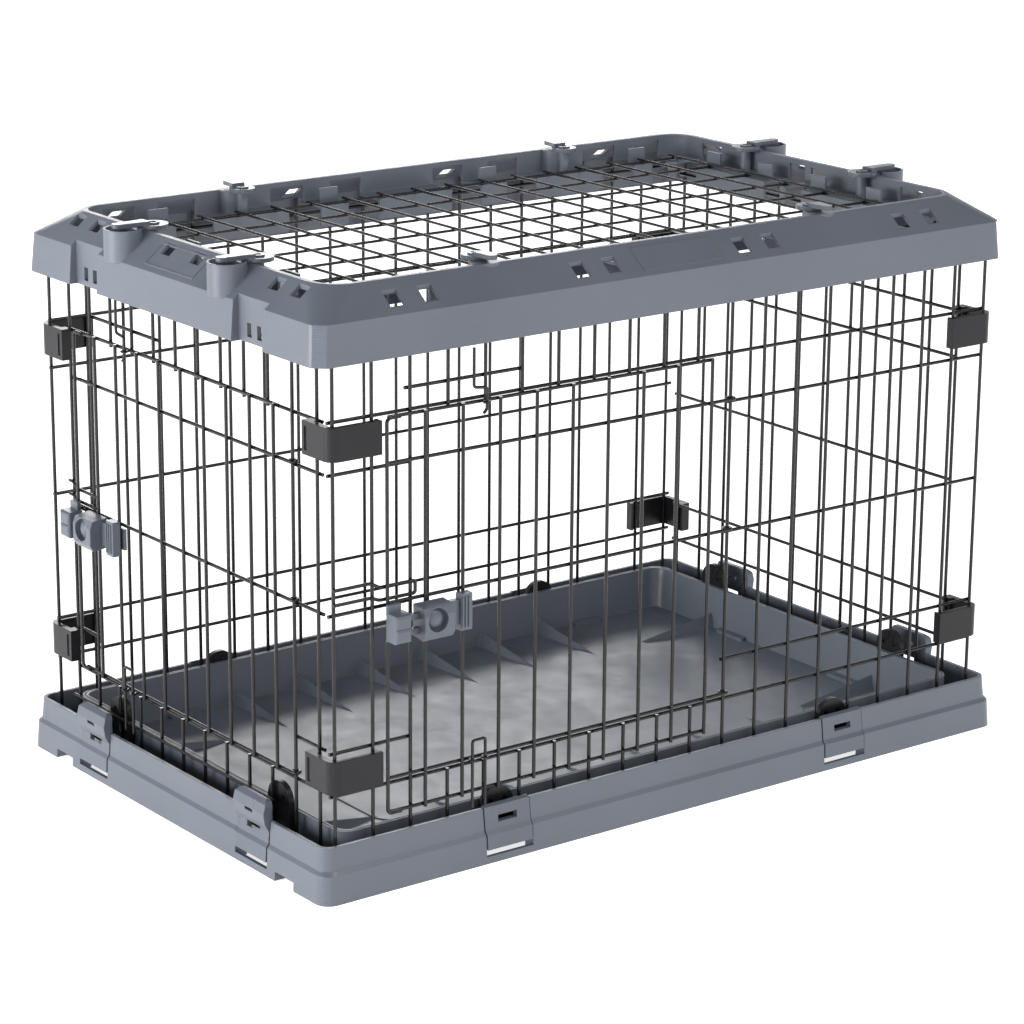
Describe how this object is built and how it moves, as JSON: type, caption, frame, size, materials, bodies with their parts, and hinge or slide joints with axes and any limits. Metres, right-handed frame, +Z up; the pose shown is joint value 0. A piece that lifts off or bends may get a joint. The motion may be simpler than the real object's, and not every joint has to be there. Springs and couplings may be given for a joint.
{
  "type": "dog crate",
  "caption": "Wire-walled pet crate on a moulded base, with an end door and a side door, slide latches, snap clips and a lift-off mesh roof held by turning levers.",
  "frame": {"origin": "centre of the face the base stands on, at the middle of its underside", "axes": "+Z up, +X along the long walls, +Y from the front wall with the wide door to the back wall; the end door is on the -X side"},
  "size_m": [0.9236, 0.5956, 0.6205],
  "materials": {
    "base_plastic": "satin moulded",
    "roof_plastic": "satin moulded, grained skirt",
    "clip_plastic": "satin moulded",
    "black_plastic": "satin moulded",
    "black_wire": "glossy epoxy coat",
    "mesh_wire": "satin epoxy coat",
    "bright_pin": "plain"
  },
  "bodies": {
    "base": {"base_tub": "base_plastic", "wheel_pins": "bright_pin", "corner_clips_low": "black_plastic", "corner_clips_top": "black_plastic", "strike_loop_front": "black_wire", "strike_loop_left": "black_wire", "wall_front": "black_wire", "wall_right": "black_wire", "wall_back": "black_wire", "wall_left": "black_wire", "wall_catches_front": "black_plastic", "wall_catches_right": "black_plastic", "wall_catches_back": "black_plastic", "wall_catches_left": "black_plastic"},
    "roof": {"roof_frame": "roof_plastic", "roof_mesh": "mesh_wire", "lever_pins": "roof_plastic"},
    "door_front": {"door_front": "black_wire", "hinge_rings_front": "black_wire", "latch_housing_front": "clip_plastic", "bolt_guides_front": "black_wire"},
    "latch_slider_front": {"latch_slider_front": "clip_plastic"},
    "bolt_low_front": {"bolt_low_front": "black_wire"},
    "bolt_top_front": {"bolt_top_front": "black_wire"},
    "door_left": {"door_left": "black_wire", "hinge_rings_left": "black_wire", "latch_housing_left": "clip_plastic", "bolt_guides_left": "black_wire"},
    "latch_slider_left": {"latch_slider_left": "clip_plastic"},
    "bolt_low_left": {"bolt_low_left": "black_wire"},
    "bolt_top_left": {"bolt_top_left": "black_wire"},
    "base_clip_front_a": {"base_clip_front_a": "clip_plastic"},
    "base_clip_front_b": {"base_clip_front_b": "clip_plastic"},
    "base_clip_right_a": {"base_clip_right_a": "clip_plastic"},
    "base_clip_right_b": {"base_clip_right_b": "clip_plastic"},
    "base_clip_back_a": {"base_clip_back_a": "clip_plastic"},
    "base_clip_back_b": {"base_clip_back_b": "clip_plastic"},
    "base_clip_left_a": {"base_clip_left_a": "clip_plastic"},
    "base_clip_left_b": {"base_clip_left_b": "clip_plastic"},
    "roof_lever_left_front": {"roof_lever_left_front": "roof_plastic"},
    "roof_lever_left_back": {"roof_lever_left_back": "roof_plastic"},
    "roof_lever_right_front": {"roof_lever_right_front": "roof_plastic"},
    "roof_lever_right_back": {"roof_lever_right_back": "roof_plastic"},
    "roof_lever_front_left": {"roof_lever_front_left": "roof_plastic"},
    "roof_lever_front_right": {"roof_lever_front_right": "roof_plastic"},
    "roof_lever_back_left": {"roof_lever_back_left": "roof_plastic"},
    "roof_lever_back_right": {"roof_lever_back_right": "roof_plastic"},
    "wheel_front": {"wheel_front": "black_plastic"},
    "wheel_back": {"wheel_back": "black_plastic"}
  },
  "joints": [
    {"name": "roof_lift", "type": "slide", "parent": "base", "child": "roof", "axis": [0, 0, 1], "range_m": [0, 0.12]},
    {"name": "door_front_hinge", "type": "hinge", "parent": "base", "child": "door_front", "pos_m": [0.06831, -0.272, 0.28], "axis": [0, 0, 1], "range_deg": [0, 135]},
    {"name": "latch_front_slide", "type": "slide", "parent": "door_front", "child": "latch_slider_front", "axis": [1, 0, 0], "range_m": [0, 0.012]},
    {"name": "bolt_low_front_slide", "type": "slide", "parent": "door_front", "child": "bolt_low_front", "axis": [0, 0, 1], "range_m": [0, 0.02]},
    {"name": "bolt_top_front_slide", "type": "slide", "parent": "door_front", "child": "bolt_top_front", "axis": [0, 0, 1], "range_m": [-0.01, 0]},
    {"name": "door_left_hinge", "type": "hinge", "parent": "base", "child": "door_left", "pos_m": [-0.4275, -0.19497, 0.28], "axis": [0, 0, 1], "range_deg": [0, 135]},
    {"name": "latch_left_slide", "type": "slide", "parent": "door_left", "child": "latch_slider_left", "axis": [0, -1, 0], "range_m": [0, 0.012]},
    {"name": "bolt_low_left_slide", "type": "slide", "parent": "door_left", "child": "bolt_low_left", "axis": [0, 0, 1], "range_m": [0, 0.02]},
    {"name": "bolt_top_left_slide", "type": "slide", "parent": "door_left", "child": "bolt_top_left", "axis": [0, 0, 1], "range_m": [-0.01, 0]},
    {"name": "base_clip_front_a_hinge", "type": "hinge", "parent": "base", "child": "base_clip_front_a", "pos_m": [-0.2305, -0.28627, 0.0185], "axis": [1, 0, 0], "range_deg": [0, 70]},
    {"name": "base_clip_front_b_hinge", "type": "hinge", "parent": "base", "child": "base_clip_front_b", "pos_m": [0.2305, -0.28627, 0.0185], "axis": [1, 0, 0], "range_deg": [0, 70]},
    {"name": "base_clip_right_a_hinge", "type": "hinge", "parent": "base", "child": "base_clip_right_a", "pos_m": [0.45358, -0.158, 0.0185], "axis": [0, 1, 0], "range_deg": [0, 70]},
    {"name": "base_clip_right_b_hinge", "type": "hinge", "parent": "base", "child": "base_clip_right_b", "pos_m": [0.45358, 0.158, 0.0185], "axis": [0, 1, 0], "range_deg": [0, 70]},
    {"name": "base_clip_back_a_hinge", "type": "hinge", "parent": "base", "child": "base_clip_back_a", "pos_m": [0.2305, 0.28627, 0.0185], "axis": [-1, 0, 0], "range_deg": [0, 70]},
    {"name": "base_clip_back_b_hinge", "type": "hinge", "parent": "base", "child": "base_clip_back_b", "pos_m": [-0.2305, 0.28627, 0.0185], "axis": [-1, 0, 0], "range_deg": [0, 70]},
    {"name": "base_clip_left_a_hinge", "type": "hinge", "parent": "base", "child": "base_clip_left_a", "pos_m": [-0.45358, 0.158, 0.0185], "axis": [0, -1, 0], "range_deg": [0, 70]},
    {"name": "base_clip_left_b_hinge", "type": "hinge", "parent": "base", "child": "base_clip_left_b", "pos_m": [-0.45358, -0.158, 0.0185], "axis": [0, -1, 0], "range_deg": [0, 70]},
    {"name": "roof_lever_left_front_turn", "type": "hinge", "parent": "roof", "child": "roof_lever_left_front", "pos_m": [-0.404, -0.1, 0.614], "axis": [0, 0, 1], "range_deg": [-90, 0]},
    {"name": "roof_lever_left_back_turn", "type": "hinge", "parent": "roof", "child": "roof_lever_left_back", "pos_m": [-0.404, 0.1, 0.614], "axis": [0, 0, 1], "range_deg": [0, 90]},
    {"name": "roof_lever_right_front_turn", "type": "hinge", "parent": "roof", "child": "roof_lever_right_front", "pos_m": [0.404, -0.1, 0.614], "axis": [0, 0, 1], "range_deg": [0, 90]},
    {"name": "roof_lever_right_back_turn", "type": "hinge", "parent": "roof", "child": "roof_lever_right_back", "pos_m": [0.404, 0.1, 0.614], "axis": [0, 0, 1], "range_deg": [-90, 0]},
    {"name": "roof_lever_front_left_turn", "type": "hinge", "parent": "roof", "child": "roof_lever_front_left", "pos_m": [-0.222, -0.214, 0.614], "axis": [0, 0, 1], "range_deg": [0, 90]},
    {"name": "roof_lever_front_right_turn", "type": "hinge", "parent": "roof", "child": "roof_lever_front_right", "pos_m": [0.222, -0.214, 0.614], "axis": [0, 0, 1], "range_deg": [-90, 0]},
    {"name": "roof_lever_back_left_turn", "type": "hinge", "parent": "roof", "child": "roof_lever_back_left", "pos_m": [-0.222, 0.214, 0.614], "axis": [0, 0, 1], "range_deg": [-90, 0]},
    {"name": "roof_lever_back_right_turn", "type": "hinge", "parent": "roof", "child": "roof_lever_back_right", "pos_m": [0.222, 0.214, 0.614], "axis": [0, 0, 1], "range_deg": [0, 90]},
    {"name": "wheel_front_spin", "type": "hinge", "parent": "base", "child": "wheel_front", "pos_m": [-0.446, -0.22, 0.0074], "axis": [0, 1, 0], "continuous": true},
    {"name": "wheel_back_spin", "type": "hinge", "parent": "base", "child": "wheel_back", "pos_m": [-0.446, 0.22, 0.0074], "axis": [0, 1, 0], "continuous": true}
  ]
}
